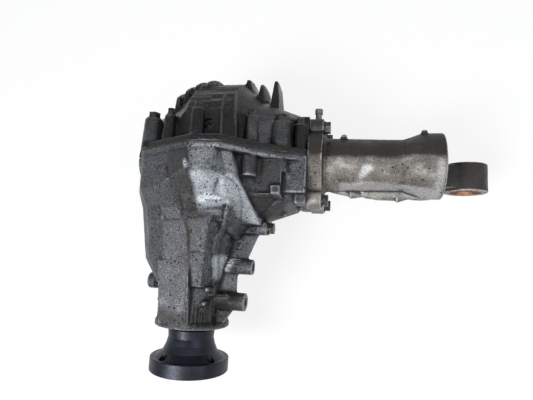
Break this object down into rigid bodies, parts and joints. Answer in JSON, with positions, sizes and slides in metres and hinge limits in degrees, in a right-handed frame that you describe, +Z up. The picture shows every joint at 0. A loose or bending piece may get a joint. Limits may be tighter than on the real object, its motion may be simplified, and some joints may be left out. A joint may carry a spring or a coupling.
{
  "type": "front differential",
  "caption": "Front axle differential: split cast housing with a finned cover, a pinion with a round flange, a gear set and a long axle tube that ends in a rubber bushed eye.",
  "frame": {"origin": "middle of the left output opening, on the axle axis", "axes": "+X along the axle axis towards the long axle tube, +Y forwards, away from the pinion flange, +Z up"},
  "size_m": [0.4475, 0.377, 0.239],
  "materials": {
    "casting": "oily cast, worn",
    "cover_casting": "dark oily cast",
    "tube_casting": "stained cast",
    "bolts": "lightly rusted",
    "steel": "machined",
    "dark_steel": "black phosphate",
    "rusty_steel": "rusty",
    "breather_metal": "zinc plated",
    "carrier_iron": "cast, oiled",
    "rubber": "matt",
    "sealant": "matt"
  },
  "bodies": {
    "housing": {"case": "casting", "cover": "cover_casting", "joint_sealant": "sealant", "cover_bolts": "bolts", "dowels": "steel", "fill_plug": "bolts", "drain_plug": "bolts", "side_bolt": "bolts", "breather": "breather_metal", "axle_tube": "tube_casting", "tube_bolts": "bolts", "tube_oring": "rubber", "bush_shell": "rusty_steel", "bush_rubber": "rubber", "bush_sleeve": "rusty_steel", "tube_bearing_outer": "steel", "snap_ring": "steel", "right_seal": "rubber", "left_seal": "rubber", "left_cup": "steel", "right_cup": "steel", "left_shim": "steel", "right_shim": "steel", "head_cup": "steel", "tail_cup": "steel", "pinion_seal": "rubber"},
    "pinion": {"pinion_shaft": "steel", "head_cone": "steel", "tail_cone": "steel", "crush_sleeve": "steel", "companion_flange": "dark_steel", "dust_deflector": "dark_steel", "pinion_washer": "dark_steel", "pinion_nut": "dark_steel"},
    "carrier": {"carrier": "carrier_iron", "ring_gear": "steel", "ring_bolts": "steel", "cross_pin": "steel", "lock_pin": "steel", "left_cone": "steel", "right_cone": "steel", "left_thrust_washer": "steel", "right_thrust_washer": "steel", "spider_washers": "steel"},
    "left_output_gear": {"left_side_gear": "steel"},
    "right_axle": {"right_side_gear": "steel", "right_shaft": "steel", "shaft_circlip": "steel", "tube_bearing_inner": "steel"},
    "upper_spider": {"upper_spider_gear": "steel"},
    "lower_spider": {"lower_spider_gear": "steel"},
    "left_roller_set": {"left_rollers": "steel"},
    "right_roller_set": {"right_rollers": "steel"},
    "head_roller_set": {"head_rollers": "steel"},
    "tail_roller_set": {"tail_rollers": "steel"},
    "tube_ball_set": {"tube_bearing_balls": "steel"}
  },
  "joints": [
    {"name": "carrier_spin", "type": "hinge", "parent": "housing", "child": "carrier", "pos_m": [0.08, 0, 0], "axis": [1, 0, 0], "continuous": true},
    {"name": "pinion_spin", "type": "hinge", "parent": "housing", "child": "pinion", "pos_m": [0.08, 0, 0], "axis": [0, 1, 0], "continuous": true},
    {"name": "right_axle_spin", "type": "hinge", "parent": "carrier", "child": "right_axle", "pos_m": [0.08, 0, 0], "axis": [1, 0, 0], "continuous": true},
    {"name": "left_gear_spin", "type": "hinge", "parent": "carrier", "child": "left_output_gear", "pos_m": [0.08, 0, 0], "axis": [1, 0, 0], "continuous": true},
    {"name": "upper_spider_spin", "type": "hinge", "parent": "carrier", "child": "upper_spider", "pos_m": [0.08, 0, 0], "axis": [0, 0, 1], "continuous": true},
    {"name": "lower_spider_spin", "type": "hinge", "parent": "carrier", "child": "lower_spider", "pos_m": [0.08, 0, 0], "axis": [0, 0, 1], "continuous": true},
    {"name": "left_roller_spin", "type": "hinge", "parent": "housing", "child": "left_roller_set", "pos_m": [0.08, 0, 0], "axis": [1, 0, 0], "continuous": true},
    {"name": "right_roller_spin", "type": "hinge", "parent": "housing", "child": "right_roller_set", "pos_m": [0.08, 0, 0], "axis": [1, 0, 0], "continuous": true},
    {"name": "head_roller_spin", "type": "hinge", "parent": "housing", "child": "head_roller_set", "pos_m": [0.08, 0, 0], "axis": [0, 1, 0], "continuous": true},
    {"name": "tail_roller_spin", "type": "hinge", "parent": "housing", "child": "tail_roller_set", "pos_m": [0.08, 0, 0], "axis": [0, 1, 0], "continuous": true},
    {"name": "tube_ball_spin", "type": "hinge", "parent": "housing", "child": "tube_ball_set", "pos_m": [0.08, 0, 0], "axis": [1, 0, 0], "continuous": true}
  ],
  "couplings": [
    {"joint": "pinion_spin", "follows": "carrier_spin", "ratio": 3.7273},
    {"joint": "left_gear_spin", "follows": "right_axle_spin", "ratio": -1},
    {"joint": "upper_spider_spin", "follows": "right_axle_spin", "ratio": -1.6},
    {"joint": "lower_spider_spin", "follows": "right_axle_spin", "ratio": 1.6},
    {"joint": "left_roller_spin", "follows": "carrier_spin", "ratio": 0.4381},
    {"joint": "right_roller_spin", "follows": "carrier_spin", "ratio": 0.4381},
    {"joint": "head_roller_spin", "follows": "carrier_spin", "ratio": 1.5129},
    {"joint": "tail_roller_spin", "follows": "carrier_spin", "ratio": 1.5745},
    {"joint": "tube_ball_spin", "follows": "carrier_spin", "ratio": 0.4072}
  ]
}
